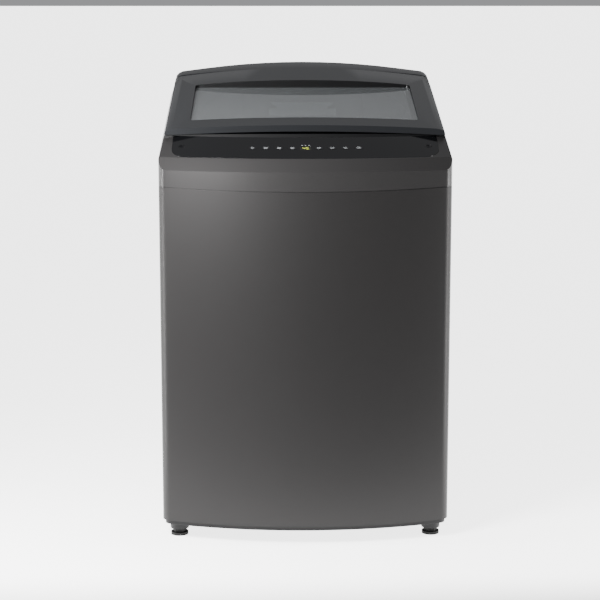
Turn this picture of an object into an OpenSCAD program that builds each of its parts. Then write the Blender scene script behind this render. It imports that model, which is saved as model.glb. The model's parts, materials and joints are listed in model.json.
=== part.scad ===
// Top load washing machine: bowed sheet cabinet, sloped top with a glazed lid,
// hanging tub, perforated basket, wash plate and direct drive motor.
// Millimetres. Origin on the floor at the middle of the footprint, front towards -Y, +Z up.

/* [Cabinet] */
// Width over the cabinet sides
body_w = 590; // [560:1:680]
// Depth from the middle of the bowed front to the rearmost face
body_d = 606; // [600:1:700]
// Overall height to the top of the rear housing
body_h = 960; // [930:1:1100]
// Height of the cabinet below the top cover, measured at its sides
seam_z = 730; // [700:1:760]
// Drop of the cabinet's top edge at the middle of the front
seam_dip = 6; // [4:0.5:10]
// Gap between the cabinet's top edge and the top cover
seam_gap = 1.5; // [0.5:0.5:2]
// Bow of the front, corners to middle
bow = 46; // [30:1:60]
// Radius of the front corners
front_r = 24; // [15:1:30]
// Radius of the rear corners
rear_r = 10; // [6:1:20]
// Thickness of the cabinet sheet
sheet_t = 1.2; // [0.8:0.1:2]
// Height of the lower edge of the sheet above the floor
skirt_z = 40; // [34:1:50]

/* [Top cover] */
// Wall of the plastic top parts
wall_t = 3; // [2:0.5:4]
// Height of the upright front band of the top cover
band_h = 40; // [30:1:50]
// Run of the rolled edge above the band
roll_run = 15; // [10:1:20]
// Rise of the rolled edge above the band
roll_rise = 25; // [15:1:30]
// Depth of the sloped control panel, front to back
panel_run = 83; // [70:1:90]
// Rise of the control panel, front to back
panel_rise = 36; // [28:1:42]
// Slope of the lid, in degrees
lid_slope = 12.6; // [8:0.2:14]
// Height of the shoulder along both sides
shoulder_h = 24; // [15:1:30]
// Lean-in of the shoulder along both sides
shoulder_in = 8; // [4:1:12]
// Width of the loading opening
throat_d = 430; // [380:2:440]

/* [Lid] */
// Distance from the front of the machine to the front of the lid
lid_front = 146; // [135:1:150]
// Depth of the rear housing behind the lid
console_d = 70; // [64:1:80]
// Height of the lid's middle at its front edge above its rim
lid_crown_front = 20; // [16:1:26]
// Height of the lid's middle at its rear edge above its rim
lid_crown_rear = 34; // [26:1:36]
// Width of the window glass
glass_w = 472; // [440:2:490]
// Length of the window glass along the slope
glass_l = 260; // [220:2:270]
// Thickness of the window glass
glass_t = 4; // [3:0.5:5]
// Radius of the lid's hinge pins
pin_r = 3; // [2.5:0.1:4]
// Running clearance round pins and shafts
run_gap = 0.05; // [0.02:0.01:0.08]

/* [Control panel] */
// Width of the gloss panel
panel_w = 538; // [460:2:550]
// Corner radius of the control panel at its front edge
panel_corner_r = 42; // [20:1:60]
// Thickness of the gloss panel
panel_t = 2.5; // [2:0.5:3]
// Spacing of the keys
key_pitch = 26.5; // [20:0.5:28]
// Width of a key
key_w = 17; // [12:1:19]
// Height of a key up the slope
key_l = 9; // [7:0.5:12]
// Gap round a key
key_gap = 0.4; // [0.3:0.1:0.8]
// Width of the display window
display_w = 22; // [16:1:26]
// Height of the display window up the slope
display_l = 14; // [10:1:16]

/* [Tub] */
// Outside radius of the tub
tub_r = 262; // [240:1:266]
// Wall of the tub
tub_t = 4; // [3:0.5:5]
// Height of the underside of the tub above the floor
tub_z = 192; // [185:1:200]
// Height of the tub, bottom to rim
tub_h = 474; // [440:1:480]
// Outside radius of the basket
basket_r = 243; // [220:1:246]
// Sheet thickness of the basket
basket_t = 1.2; // [0.8:0.1:2]
// Height of the basket wall
basket_h = 400; // [360:1:405]
// Inside radius of the balance ring
ring_in_r = 206; // [190:1:212]
// Height of the balance ring
ring_h = 44; // [36:1:46]
// Radius of the wash plate
plate_r = 190; // [160:1:205]

/* [Drive] */
// Radius of the wash shaft
wash_shaft_r = 8; // [6:0.5:9]
// Outside radius of the hollow spin shaft
spin_shaft_r = 15; // [13:0.5:16]
// Outside radius of the two bearings
bearing_r = 31; // [28:0.5:34]
// Outside radius of the motor rotor
rotor_r = 148; // [120:1:150]
// Number of teeth of the stator
stator_teeth = 36; // [24:6:36]

/* [Suspension and feet] */
// Distance of each hanging rod from the machine's middle, along X and Y
rod_xy = 232; // [226:1:236]
// Radius of the hanging rods
rod_r = 4; // [3:0.5:5]
// Radius of a foot pad
foot_r = 18; // [15:1:22]
// Distance of each foot from the machine's middle, along X
foot_x = 262; // [230:1:264]
// Distance of each foot from the machine's middle, along Y
foot_y = 214; // [200:1:216]

/* [Water] */
// Width of the detergent drawer's front
drawer_w = 166; // [140:1:180]
// Outside radius of the inlet valve's hose threads
thread_r = 13.2; // [12:0.1:14]
// Outside radius of the drain outlet
drain_r = 15; // [12:0.5:17]

/* [Hidden] */
$fn = 96;

eps = 0.01;
half_w = body_w / 2;
front_y = -body_d / 2;
rear_y = body_d / 2;
rear_recess = 3;                       // screws and the housing stand behind the sheet by this
sheet_rear_y = rear_y - rear_recess;
slope = tan(lid_slope);

// The bowed front: one large arc, tangent to both corner arcs
corner_x = half_w - front_r;
bow_r = (corner_x * corner_x + bow * bow) / (2 * bow);
bow_y = front_y + bow_r;
corner_y = bow_y - sqrt(pow(bow_r - front_r, 2) - corner_x * corner_x);

// Heights of the sloped top
band_z = seam_z - seam_dip + band_h;
roll_z = band_z + roll_rise;
panel_z = roll_z + panel_rise;
lid_front_y = front_y + lid_front;
lid_rear_y = rear_y - console_d;
rim_z = panel_z + 1;                   // lid rim at the lid's front edge
shelf_z = body_h - 96;                 // shelf that the rear housing stands on
throat_y = 15;
throat_front_y = lid_front_y + 22;
throat_rear_y = lid_rear_y - 49;
lid_half_w = half_w - shoulder_in;
lid_gap = 1;
grip_y = lid_front_y + 9;              // rear wall of the handle recess
hinge_y = lid_rear_y - 35;
hinge_z = rim_z + (hinge_y - lid_front_y) * slope + 5;
hinge_x = lid_half_w - 19;             // outer face of the lid's hinge bosses
post_w = 8;
glass_w_top = 14;                      // top of the glass above the rim plane
glass_mid = (throat_front_y + throat_rear_y) / 2 - 1;

// Control panel, keys and display, on the cone of the sloped front
panel_tilt = atan(panel_rise / panel_run);
roll_top_r = bow_r - roll_run;
panel_top_r = roll_top_r - panel_run;
key_r = roll_top_r - panel_run * 0.5;
key_z = roll_z + panel_rise * 0.5;
key_travel = 1.2;

// Tub and drive heights
tub_floor_z = tub_z + tub_t;
tub_top_z = tub_z + tub_h;
basket_z = tub_floor_z + 26;
basket_top_z = basket_z + basket_h;
ring_z = basket_top_z - 6;
plate_z = basket_z + 22;
housing_z = tub_z - 44;                // lower end of the bearing housing
rotor_z = housing_z - 52;              // lower face of the rotor
bearing_h = 14;
low_bearing_z = housing_z + 4;
top_bearing_z = tub_z - 16;
bearing_mid_r = (bearing_r + spin_shaft_r) / 2;
ball_r = 3.6;
race_t = 4;
rod_top_z = seam_z - 26;
rod_end_z = tub_z + 14;
cup_z = tub_z + 62;
cup_h = 22;
spring_r = 15;
drum_gap = 0.3;

// ---------- shared shapes ----------

function rim_at(y) = rim_z + (y - lid_front_y) * slope;

function arc_points(cx, cy, r, a0, a1, n) =
    [for (k = [0:n]) let (a = a0 + (a1 - a0) * k / n) [cx + r * sin(a), cy - r * cos(a)]];

function mirrored(points) = [for (k = [len(points) - 1:-1:0]) [-points[k][0], points[k][1]]];

module footprint(inset = 0, y_rear = sheet_rear_y) {
    r = max(front_r - inset, 1);
    rr = max(rear_r - inset, 1);
    ang = atan(corner_x / (bow_y - corner_y));
    right = concat(arc_points(0, bow_y, bow_r - inset, 0.5, ang, 20),
        arc_points(corner_x, corner_y, r, ang + 8, 90, 8),
        arc_points(half_w - inset - rr, y_rear - inset - rr, rr, 90, 180, 6));
    polygon(concat(right, mirrored(right)));
}

module along_x(len) {                  // extrudes a (y, z) outline across the machine
    rotate([90, 0, 90]) translate([0, 0, -len / 2]) linear_extrude(len) children();
}

module dipped_below(z) {               // everything under the dipped seam
    r = half_w * half_w / (2 * seam_dip);
    difference() {
        translate([-half_w - 5, front_y - 5, -5]) cube([body_w + 10, body_d + 10, z + 5]);
        translate([0, 0, z - seam_dip + r]) rotate([90, 0, 0])
            cylinder(r = r, h = body_d + 30, center = true, $fn = 720);
    }
}

module on_panel(x) {                   // frame on the panel's surface, Z along its normal
    a = asin(x / key_r);
    translate([0, bow_y, 0]) rotate([0, 0, a]) translate([0, -key_r, key_z])
        rotate([panel_tilt, 0, 0]) children();
}

module slab(w, l, h, r) {              // rounded block standing on its origin plane
    linear_extrude(h) union() {
        square([w - 2 * r, l], center = true);
        square([w, l - 2 * r], center = true);
        for (i = [-1, 1], j = [-1, 1]) translate([i * (w / 2 - r), j * (l / 2 - r)])
            circle(r = r, $fn = 32);
    }
}

module on_rim(y) {                     // frame lying in the lid's rim plane
    translate([0, y, rim_at(y)]) rotate([lid_slope, 0, 0]) children();
}

module ring(r_out, r_in, h) {
    difference() {
        cylinder(r = r_out, h = h);
        translate([0, 0, -1]) cylinder(r = r_in, h = h + 2);
    }
}

module at_corners(x, y) {
    for (i = [-1, 1], j = [-1, 1]) translate([i * x, j * y, 0]) children();
}

module screw_head(r, h) {              // cross-recess pan head, pointing up
    difference() {
        intersection() {
            cylinder(r = r, h = h, $fn = 32);
            translate([0, 0, h - r * 1.6]) sphere(r = r * 1.6, $fn = 48);
        }
        for (a = [0, 90]) rotate([0, 0, a]) translate([-r * 0.5, -r * 0.11, h * 0.5])
            cube([r, r * 0.22, h]);
    }
}

// ---------- cabinet, base and feet ----------

module cabinet() color([0.28, 0.27, 0.28]) difference() {
    intersection() {
        translate([0, 0, skirt_z]) linear_extrude(seam_z - skirt_z) footprint();
        dipped_below(seam_z);
    }
    translate([0, 0, skirt_z - 1]) linear_extrude(body_h) footprint(sheet_t);
    translate([-rear_open_w / 2, rear_y - 30, rear_open_z]) cube([rear_open_w, 60, rear_open_h]);
    outlet_notch();
}

rear_open_w = body_w - 110;
rear_open_z = 110;
rear_open_h = seam_z - rear_open_z - 70;
cover_lap = 14;

module outlet_notch() translate([pump_x - drain_r - 1, rear_y - 50, 0])    // way out for the drain outlet
    cube([2 * drain_r + 2, 60, outlet_z + drain_r + 1]);

module rear_cover() color([0.62, 0.63, 0.64]) difference() {
    union() {
        translate([0, sheet_rear_y + 0.5, rear_open_z + rear_open_h / 2]) rotate([90, 0, 0])
            translate([0, 0, -0.5]) slab(rear_open_w + 2 * cover_lap, rear_open_h + 2 * cover_lap, 1, 8);
        for (i = [-1.5:1:1.5]) translate([i * 110 - 4, sheet_rear_y - 4, rear_open_z + 40])
            cube([8, 4.2, rear_open_h - 80]);
    }
    for (i = [-1, 1], j = [0:2]) translate([i * (rear_open_w / 2 + cover_lap / 2), rear_y,
        rear_open_z + 20 + j * (rear_open_h - 40) / 2]) rotate([90, 0, 0])
            cylinder(r = 2.1, h = 20, center = true, $fn = 24);
}

module rear_cover_screws() color([0.7, 0.7, 0.7])
    for (i = [-1, 1], j = [0:2]) translate([i * (rear_open_w / 2 + cover_lap / 2),
        sheet_rear_y + 1.01, rear_open_z + 20 + j * (rear_open_h - 40) / 2]) {
        rotate([-90, 0, 0]) screw_head(4, rear_recess - 1.01);
        rotate([90, 0, 0]) translate([0, 0, -0.5]) cylinder(r = 1.9, h = 1.49, $fn = 24);
    }

module base_frame() color([0.06, 0.06, 0.07]) difference() {
    union() {
        difference() {
            translate([0, 0, skirt_z - 9]) linear_extrude(34) footprint(sheet_t + 4);
            translate([0, 0, skirt_z - 10]) linear_extrude(40) footprint(sheet_t + 18);
        }
        difference() {
            translate([0, 0, skirt_z - 9]) linear_extrude(3) footprint(sheet_t + 5);
            cylinder(r = tub_r - 70, h = body_h);
        }
        at_corners(foot_x, foot_y) translate([0, 0, foot_pad_h + 1])
            cylinder(r1 = foot_r + 1, r2 = foot_r + 4, h = skirt_z + 10 - foot_pad_h - 1);
    }
    at_corners(foot_x, foot_y) translate([0, 0, -1]) cylinder(r = foot_stem_r + 0.3, h = body_h);
    outlet_notch();
}

foot_stem_r = 5;
foot_sole_h = 6;
foot_pad_h = 13;

module foot() {
    cylinder(r = foot_r, h = foot_sole_h);
    translate([0, 0, foot_sole_h - eps])
        cylinder(r = foot_r * 0.8, h = foot_pad_h - foot_sole_h, $fn = 6);
    cylinder(r = foot_stem_r, h = skirt_z + 34);
}

module left_levelling_foot() color([0.07, 0.07, 0.07]) translate([-foot_x, -foot_y, 0]) foot();
module right_levelling_foot() color([0.07, 0.07, 0.07]) translate([foot_x, -foot_y, 0]) foot();

module foot_lock_nuts() color([0.7, 0.7, 0.68])
    for (s = [-1, 1]) translate([s * foot_x, -foot_y, skirt_z + 10]) difference() {
        cylinder(r = 9.5, h = 7, $fn = 6);
        translate([0, 0, -1]) cylinder(r = foot_stem_r + 0.3, h = 10);
    }

module rear_feet() color([0.07, 0.07, 0.07])
    for (s = [-1, 1]) translate([s * foot_x, foot_y, 0]) {
        cylinder(r = foot_r, h = foot_sole_h);
        translate([0, 0, foot_sole_h - eps])
            cylinder(r1 = foot_r, r2 = foot_r * 0.8, h = foot_pad_h - foot_sole_h);
        cylinder(r = foot_stem_r + 0.2, h = skirt_z + 14);
    }

module corner_plates() color([0.55, 0.56, 0.57])
    for (i = [-1, 1], j = [-1, 1]) corner_plate(i, j);

module corner_plate(i, j) {
    side = 74;
    difference() {
        intersection() {
            translate([i > 0 ? half_w - side - sheet_t : -half_w + sheet_t,
                j > 0 ? sheet_rear_y - side - sheet_t : front_y, rod_top_z])
                cube([side, j > 0 ? side : side + bow + 24, 3]);
            translate([0, 0, rod_top_z - 1]) linear_extrude(6) footprint(sheet_t);
        }
        translate([i * rod_xy, j * rod_xy, rod_top_z - 1]) cylinder(r = rod_r + 0.2, h = 6);
    }
}

// ---------- top cover ----------

module cover_front(t) {                // upright band, rolled edge and panel slope
    r = bow_r - t;
    translate([0, bow_y, 0]) rotate_extrude($fn = 720) polygon([[0, 0], [r, 0], [r, band_z - t / 2],
        [r - roll_run, roll_z - t * 1.8], [r - roll_run - panel_run, panel_z - t * 1.8],
        [r - roll_run - panel_run, 0]]);
}

module cover_ring_zone(t) {            // plan area in front of the handle recess
    difference() {
        translate([-half_w - 5, front_y - 5, 0]) cube([body_w + 10, lid_front + 5, body_h]);
        translate([0, bow_y, -1]) cylinder(r = panel_top_r + t, h = body_h + 2, $fn = 720);
    }
}

module recess_zone(t) {                // plan area behind the panel's rear edge
    translate([0, bow_y, 0]) cylinder(r = panel_top_r + t, h = body_h, $fn = 720);
    translate([-half_w - 5, lid_front_y, 0]) cube([body_w + 10, body_d, body_h]);
}

module cover_solid(t) {
    low = seam_z - seam_dip - 1;
    intersection() {
        translate([0, 0, low]) linear_extrude(body_h - low) footprint(t);
        union() {
            intersection() {
                cover_front(t);
                cover_ring_zone(t);
            }
            intersection() {
                recess_zone(t);
                along_x(body_w + 10) polygon([[lid_front_y - 70, 0], [rear_y, 0],
                    [rear_y, shelf_z - t], [lid_rear_y - 1, shelf_z - t],
                    [lid_rear_y - 1, rim_at(lid_rear_y - 1) - t], [grip_y + t, rim_at(grip_y + t) - t],
                    [grip_y + t, rim_z - 16 - t], [lid_front_y - 70, rim_z - 24 - t]]);
            }
        }
        on_rim(0) rotate([90, 0, 0]) linear_extrude(body_d * 2, center = true)
            polygon([[-half_w + t, -body_h], [half_w - t, -body_h], [half_w - t, -shoulder_h],
                [lid_half_w - t, 0], [lid_half_w - t, body_h], [-lid_half_w + t, body_h],
                [-lid_half_w + t, 0], [-half_w + t, -shoulder_h]]);
    }
}

module throat_plan(grow = 0) {
    intersection() {
        translate([0, throat_y]) circle(r = throat_d / 2 + grow, $fn = 180);
        translate([-half_w, throat_front_y - grow])
            square([body_w, throat_rear_y - throat_front_y + 2 * grow]);
    }
}

module top_cover() color([0.30, 0.29, 0.30]) difference() {
    union() {
        difference() {
            difference() {
                cover_solid(0);
                dipped_below(seam_z + seam_gap);
            }
            cover_solid(wall_t);
        }
        intersection() {
            translate([0, 0, seam_z - 24]) linear_extrude(body_h) throat_plan(wall_t);
            union() {
                cover_solid(0);
                translate([0, 0, seam_z - 24]) cylinder(r = half_w, h = 30);
            }
        }
        translate([0, 0, seam_z - 6]) difference() {     // rim that seats inside the sheet
            linear_extrude(10) footprint(sheet_t + 0.3);
            translate([0, 0, -1]) linear_extrude(12) footprint(sheet_t + 0.3 + wall_t);
        }
        intersection() {
            lid_well(wall_t);
            cover_solid(0);
        }
        hinge_posts();
        hinge_ears();
    }
    translate([0, 0, 10]) linear_extrude(body_h) throat_plan();
    difference() {
        lid_well();
        hinge_posts();
    }
    panel_pocket();
    for (s = [-1, 1]) bumper_at(s) translate([0, 0, -10]) cylinder(r = bumper_stem_r, h = 20, $fn = 24);
    for (s = [-1, 1]) hinge_bore(s, pin_r);
    drawer_slot();
    for (s = [-1, 1]) on_panel(s * plug_x) cylinder(r = 3, h = 20, center = true, $fn = 32);
    top_cover_screw_places() translate([0, 0, -10]) cylinder(r = 1.9, h = 12, $fn = 24);
    translate([duct_x, duct_y, shelf_z - 10]) cylinder(r = duct_r + 0.3, h = 20);
}

plug_x = panel_w / 2 - 20;
plug_r = 6.5;
plug_seat = 0.4;                       // the head stands off the recess floor by this

module lid_well(grow = 0) {            // room for the lid's rear edge as it swings down
    translate([-lid_half_w + 5 - grow, throat_rear_y + wall_t - grow, shelf_z - grow])
        cube([2 * lid_half_w - 10 + 2 * grow, lid_rear_y - throat_rear_y + 20, body_h]);
}

module hinge_post_plan(x0, x1, r) {    // an ear across the hinge line, from x0 to x1
    translate([x0, hinge_y, hinge_z]) rotate([0, 90, 0]) cylinder(r = r, h = x1 - x0, $fn = 48);
    translate([x0, hinge_y - r, hinge_z - 31]) cube([x1 - x0, 2 * r, 31]);
    translate([x0, hinge_y - 12, shelf_z - 6]) cube([x1 - x0, 9, hinge_z - shelf_z - 14]);
}

ear_h = 12;

module hinge_ears() for (s = [-1, 1]) {    // fills the lid's cut-back rear corner on each side
    x = lid_half_w - lid_notch + 0.7;
    y = lid_notch_y + 1.5 + ear_h * sin(lid_slope);
    translate([s > 0 ? x : -lid_half_w, y, rim_at(y) - 8.4])
        rotate([lid_slope, 0, 0]) cube([lid_half_w - x, (lid_rear_y - y) / cos(lid_slope), ear_h]);
}

module hinge_posts() for (s = [-1, 1]) {
    x = hinge_x + 0.8;
    hinge_post_plan(s > 0 ? x : -x - post_w, s > 0 ? x + post_w : -x, 5.5);
}

module hinge_bore(s, r) translate([s * (hinge_x - 4), hinge_y, hinge_z]) rotate([0, 90, 0])
    cylinder(r = r, h = 40, center = true, $fn = 48);

module panel_plan(grow = 0) {          // plan outline of the gloss panel
    w = panel_w / 2 + grow;
    c = panel_corner_r + grow;
    r = roll_top_r - 2 + grow;
    q = panel_top_r - grow;
    a = asin((w - c) / (r - c));
    b = asin(w / q);
    corner = arc_points(w - c, bow_y - (r - c) * cos(a), c, a + 5, 90, 10);
    polygon(concat(arc_points(0, bow_y, r, -a, a, 60), corner,
        arc_points(0, bow_y, q, b, -b, 60), mirrored(corner)));
}

module cone_layer(top, thick) {        // a layer that follows the panel slope, top mm above it
    r0 = roll_top_r;
    translate([0, bow_y, 0]) rotate_extrude($fn = 720) polygon([[r0 + 5, roll_z + top - 5 * panel_rise / panel_run],
        [panel_top_r - 5, panel_z + top + 5 * panel_rise / panel_run],
        [panel_top_r - 5, panel_z + top - thick + 5 * panel_rise / panel_run],
        [r0 + 5, roll_z + top - thick - 5 * panel_rise / panel_run]]);
}

module panel_pocket() {
    intersection() {
        translate([0, 0, seam_z]) linear_extrude(body_h) panel_plan(0.2);
        cone_layer(30, 30 + panel_t);
    }
    for (i = [-4:4]) if (i != 0) on_panel(i * key_pitch) cube([key_w + 2, key_l + 2, 24], center = true);
    on_panel(0) cube([display_w + 2, display_l + 2, 24], center = true);
}

module control_panel() color([0.03, 0.03, 0.035]) difference() {
    intersection() {
        translate([0, 0, seam_z]) linear_extrude(body_h) panel_plan();
        cone_layer(0.3, panel_t + 0.3);
    }
    for (i = [-4:4]) if (i != 0) on_panel(i * key_pitch) translate([0, 0, -6])
        slab(key_w + 2 * key_gap, key_l + 2 * key_gap, 14, 2 + key_gap);
    on_panel(0) translate([0, 0, -6]) slab(display_w + 0.2, display_l + 0.2, 14, 1.6);
    for (s = [-1, 1]) on_panel(s * plug_x) cylinder(r = plug_r + 0.2, h = 20, center = true, $fn = 48);
}

module display_window() color([0.55, 0.6, 0.1]) on_panel(0) translate([0, 0, -panel_t])
    slab(display_w, display_l, panel_t + 0.1, 1.5);

module panel_plugs() color([0.02, 0.02, 0.02]) for (s = [-1, 1]) on_panel(s * plug_x) {
    difference() {
        translate([0, 0, plug_seat - panel_t])
            cylinder(r = plug_r, h = panel_t - 0.3 - plug_seat, $fn = 48);
        translate([0, 0, 14]) sphere(r = 15.5, $fn = 64);
    }
    translate([0, 0, -6]) cylinder(r = 2.8, h = 6 - panel_t + plug_seat, $fn = 32);
}

module key(i) on_panel(i * key_pitch) {
    translate([0, 0, -panel_t - 0.6]) slab(key_w, key_l, panel_t + 1.2, 2);
    translate([0, 0, -panel_t - 6]) cylinder(r = 2.2, h = 6, $fn = 24);
}

module power_key() color([0.05, 0.05, 0.05]) key(-4);
module wash_key() color([0.05, 0.05, 0.05]) key(-3);
module rinse_key() color([0.05, 0.05, 0.05]) key(-2);
module spin_key() color([0.05, 0.05, 0.05]) key(-1);
module programme_key() color([0.05, 0.05, 0.05]) key(1);
module level_key() color([0.05, 0.05, 0.05]) key(2);
module delay_key() color([0.05, 0.05, 0.05]) key(3);
module start_key() color([0.05, 0.05, 0.05]) key(4);

board_depth = panel_t + 6 + key_travel + 0.4;

board_drop = 4;                        // the flat board lies this far under the middle switches

module control_board() color([0.05, 0.28, 0.12]) {
    intersection() {
        union() {
            for (i = [-4:4]) if (i != 0) on_panel(i * key_pitch) translate([0, 0, -board_depth - 9.6])
                slab(6, 6, 10, 0.6);
            on_panel(0) translate([0, 0, -board_depth - 6]) slab(display_w - 3, display_l - 2, 12, 1);
        }
        on_panel(0) translate([0, 0, -board_depth - board_drop])
            translate([-130, -30, 0]) cube([260, 60, 40]);
    }
    on_panel(0) translate([0, 4, -board_depth - board_drop - 1.6]) slab(250, 44, 1.7, 3);
}

module top_cover_screw_places() for (i = [-1, 1], j = [0:1])
    translate([i * (lid_half_w - 40 - j * 130), sheet_rear_y, seam_z + 24]) rotate([-90, 0, 0])
        children();

module top_cover_screws() color([0.7, 0.7, 0.7]) top_cover_screw_places() {
    screw_head(4, rear_recess);
    translate([0, 0, -8]) cylinder(r = 1.9, h = 8.5, $fn = 24);
}

// ---------- rear housing ----------

module arch_plan(mid, crease, edge, hw, base) {     // (x, height) outline of an arched section
    cr = hw - 25;
    n = 12;
    polygon(concat([[-hw, base], [-hw, edge]],
        [for (k = [0:4]) [-hw + 25 * (1 - cos(k * 22.5)), edge + (crease - edge) * sin(k * 22.5)]],
        [for (k = [1:n - 1]) let (x = -cr + 2 * cr * k / n) [x, mid - (mid - crease) * x * x / (cr * cr)]],
        [for (k = [4:-1:0]) [hw - 25 * (1 - cos(k * 22.5)), edge + (crease - edge) * sin(k * 22.5)]],
        [[hw, edge], [hw, base]]));
}

module arch_slice(y, mid, crease, edge, hw, base) translate([0, y, 0]) rotate([90, 0, 0])
    linear_extrude(0.02) arch_plan(mid, crease, edge, hw, base);

module console_body(t, y0, y1) {
    z0 = rim_at(lid_rear_y) - t;
    hull() {
        arch_slice(y0, z0 + lid_crown_rear, z0 + 17, z0 + 5, lid_half_w - t, shelf_z - t);
        arch_slice(y0 + 44, body_h - t - 1, body_h - 19 - t, body_h - 36 - t, lid_half_w - t, shelf_z - t);
        arch_slice(y1, body_h - t, body_h - 20 - t, body_h - 38 - t, lid_half_w - 3 - t, shelf_z - t);
    }
}

valve_x = 170;
valve_z = shelf_z + 34;
port_gap = 46;
pocket_y = rear_y - 26;

module rear_housing() color([0.22, 0.23, 0.25]) difference() {
    console_body(0, lid_rear_y + 2, rear_y);
    difference() {
        console_body(wall_t - 0.5, lid_rear_y + 1, rear_y - wall_t);
        translate([-half_w, lid_rear_y + 19, 0]) cube([body_w, wall_t, shelf_z + 60]);
        translate([valve_x - 56, pocket_y - wall_t, 0]) cube([112, 40, body_h]);
    }
    translate([valve_x - 53, pocket_y, shelf_z + 4]) cube([106, 40, 60]);
    for (s = [-1, 1]) translate([valve_x + s * port_gap / 2, rear_y, valve_z]) rotate([90, 0, 0])
        cylinder(r = thread_r + 0.4, h = 80);
    translate([-lid_half_w + 4, lid_rear_y, shelf_z - 1]) cube([2 * lid_half_w - 8, 19, rim_at(lid_rear_y) + 4 - shelf_z]);
    translate([0, hinge_y, hinge_z]) rotate([0, 90, 0])
        cylinder(r = swing_r + 1.2, h = 2 * (lid_half_w - lid_notch) + 1, center = true, $fn = 240);
    translate([-210, rear_y, shelf_z + 26]) rotate([90, 0, 0]) cylinder(r = 8.2, h = 20, center = true);
}

module inlet_valve() color([0.85, 0.85, 0.83]) {
    for (s = [-1, 1]) translate([valve_x + s * port_gap / 2, rear_y, valve_z]) rotate([90, 0, 0])
        difference() {
            union() {
                cylinder(r = thread_r, h = rear_y - pocket_y - 0.5);
                cylinder(r = thread_r - 0.6, h = 26 + wall_t + 12);
                translate([0, 0, 26 + wall_t]) cylinder(r = 17, h = 4);
            }
            translate([0, 0, -1]) cylinder(r = 9.5, h = 20);
        }
    difference() {
        translate([valve_x - 40, lid_rear_y + 23, valve_z - 17]) cube([80, 14, 34]);
        translate([valve_x, duct_y, valve_z - 30]) cylinder(r = duct_r + 0.2, h = 25);
    }
    for (s = [-1, 1]) translate([valve_x + s * port_gap / 2, duct_y, valve_z + 6])
        cylinder(r = 6.5, h = 20);
}

duct_x = 40;
duct_y = lid_rear_y + 30;
duct_r = 5.8;

module fill_duct() color([0.8, 0.8, 0.78]) difference() {
    z = shelf_z + 10;
    union() {
        translate([valve_x, duct_y, z]) sphere(r = duct_r, $fn = 48);
        translate([valve_x, duct_y, z]) cylinder(r = duct_r, h = valve_z - z - 14);
        translate([duct_x, duct_y, z]) rotate([0, 90, 0]) cylinder(r = duct_r, h = valve_x - duct_x);
        translate([duct_x, duct_y, z]) sphere(r = duct_r, $fn = 48);
        translate([duct_x, duct_y, duct_end_z]) cylinder(r = duct_r, h = z - duct_end_z);
    }
    translate([duct_x, duct_y, duct_end_z - 1]) cylinder(r = duct_r - 1.8, h = 16);
}

module level_sensor() color([0.1, 0.1, 0.1]) translate([-110, lid_rear_y + 44, shelf_z]) {
    cylinder(r = 20, h = 20);
    translate([0, 0, 19]) cylinder(r = 13, h = 12);
    translate([-16, 0, 10]) rotate([0, -90, 0]) cylinder(r = 3, h = 16);
}

module cord_gland() color([0.05, 0.05, 0.05]) translate([-210, rear_y, shelf_z + 26])
    rotate([90, 0, 0]) difference() {
        union() {
            cylinder(r = 7.8, h = 14);
            translate([0, 0, wall_t]) cylinder(r = 11, h = 3);
        }
        translate([0, 0, -1]) cylinder(r = 3.6, h = 20);
    }

// ---------- lid ----------

module lid_solid(t, y0, y1) {
    hull() {
        z0 = rim_at(y0) + lid_gap - t;
        z1 = rim_at(y1) + lid_gap - t;
        b = t > 0 ? 3 : 0;
        arch_slice(y0, z0 + lid_crown_front, z0 + 13, z0 + 4, lid_half_w - t, rim_at(y0) + lid_gap - b);
        arch_slice(y1, z1 + lid_crown_rear, z1 + 17, z1 + 5, lid_half_w - t, rim_at(y1) + lid_gap - b);
    }
}

glass_edge = 10;                       // width of the ledge that carries the glass
grip_l = 16;                           // overhang of the lid's lip over the handle recess
grip_rise = 8;                         // height of the arched cut under the lip, at the middle
grip_arch_r = (pow(lid_half_w - 16, 2) + pow(grip_rise - 1, 2)) / (2 * (grip_rise - 1));
lid_notch = 5.6;                       // the lid is this much narrower behind its hinge line
lid_notch_y = hinge_y - 8;
swing_r = 50;                          // reach of the lid's rear edge from the hinge line

module lid_frame() color([0.10, 0.10, 0.11]) difference() {
    union() {
        difference() {
            lid_solid(0, lid_front_y, lid_rear_y);
            difference() {
                lid_solid(wall_t - 0.5, lid_front_y + 2, lid_rear_y - 2);
                on_rim(glass_mid) translate([0, 0, -5])
                    slab(glass_w + 6, glass_l + 6, 60, 10);
            }
        }
        for (s = [-1, 1]) translate([s * (hinge_x - 6), hinge_y, hinge_z]) rotate([0, 90, 0])
            cylinder(r = 5.2, h = 12, center = true, $fn = 48);
        for (s = [-1, 1]) translate([s * (hinge_x - 6) - 6, hinge_y - 2, hinge_z])
            cube([12, 4, 12]);
    }
    on_rim(glass_mid) {
        translate([0, 0, glass_w_top - glass_t - 0.8]) slab(glass_w + 0.4, glass_l + 0.4, 90, 8);
        translate([0, 0, -20]) slab(glass_w - 2 * glass_edge, glass_l - 2 * glass_edge, 90, 8);
    }
    for (s = [-1, 1]) hinge_bore(s, pin_r + run_gap);
    translate([0, lid_front_y - 1, rim_at(lid_front_y) + grip_rise - grip_arch_r]) rotate([-90, 0, 0])
        cylinder(r = grip_arch_r, h = grip_l + 1, $fn = 720);
    for (s = [-1, 1]) translate([s * lid_half_w - (s > 0 ? lid_notch : 1), lid_notch_y, 0])
        cube([lid_notch + 1, 90, body_h]);
    difference() {                     // rear edge rounded about the hinge line
        translate([-half_w, hinge_y + 8, hinge_z - 5]) cube([body_w, 80, 100]);
        translate([0, hinge_y, hinge_z]) rotate([0, 90, 0])
            cylinder(r = swing_r, h = body_w + 2, center = true, $fn = 240);
    }
}

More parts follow.
